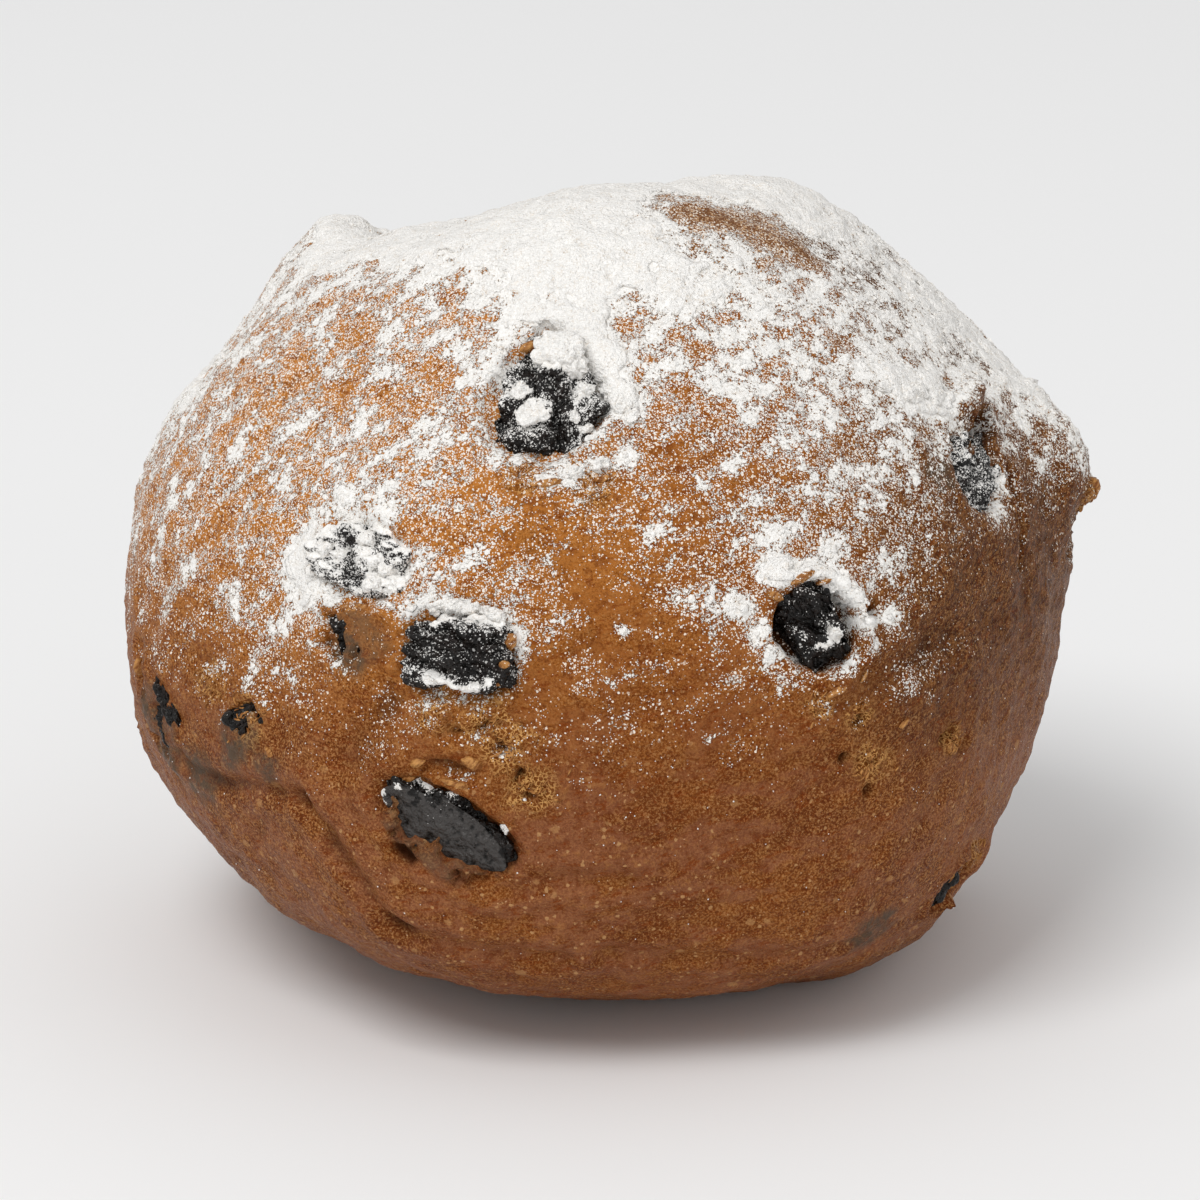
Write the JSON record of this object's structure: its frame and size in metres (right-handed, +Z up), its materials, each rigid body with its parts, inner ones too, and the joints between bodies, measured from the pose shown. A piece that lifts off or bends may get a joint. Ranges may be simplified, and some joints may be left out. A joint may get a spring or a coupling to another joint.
{
  "type": "oliebol",
  "caption": "Oliebol: a round ball of deep-fried yeast dough with raisins breaking its surface, dusted with icing sugar, resting on the flat spot under it.",
  "frame": {"origin": "on the table, under the middle of the ball's box as seen from above", "axes": "+Z up; -Y the front, with the two close raisins to the left of the middle; +X to the right of someone facing the front"},
  "size_m": [0.0869, 0.086, 0.0716],
  "materials": {
    "dough_crust": "golden to reddish brown fried crust, greasy, soft sheen, finely pored",
    "raisin_skin": "near-black wrinkled skin, moist, fairly glossy",
    "icing_sugar": "fine white powder, matte, clumped"
  },
  "bodies": {
    "root": {"dough": "dough_crust", "raisin_01": "raisin_skin", "raisin_02": "raisin_skin", "raisin_03": "raisin_skin", "raisin_04": "raisin_skin", "raisin_05": "raisin_skin", "raisin_06": "raisin_skin", "raisin_07": "raisin_skin", "raisin_08": "raisin_skin", "raisin_09": "raisin_skin", "raisin_10": "raisin_skin", "raisin_11": "raisin_skin", "raisin_12": "raisin_skin", "raisin_13": "raisin_skin", "raisin_14": "raisin_skin", "raisin_15": "raisin_skin", "raisin_16": "raisin_skin", "raisin_17": "raisin_skin", "raisin_18": "raisin_skin"}
  },
  "joints": []
}
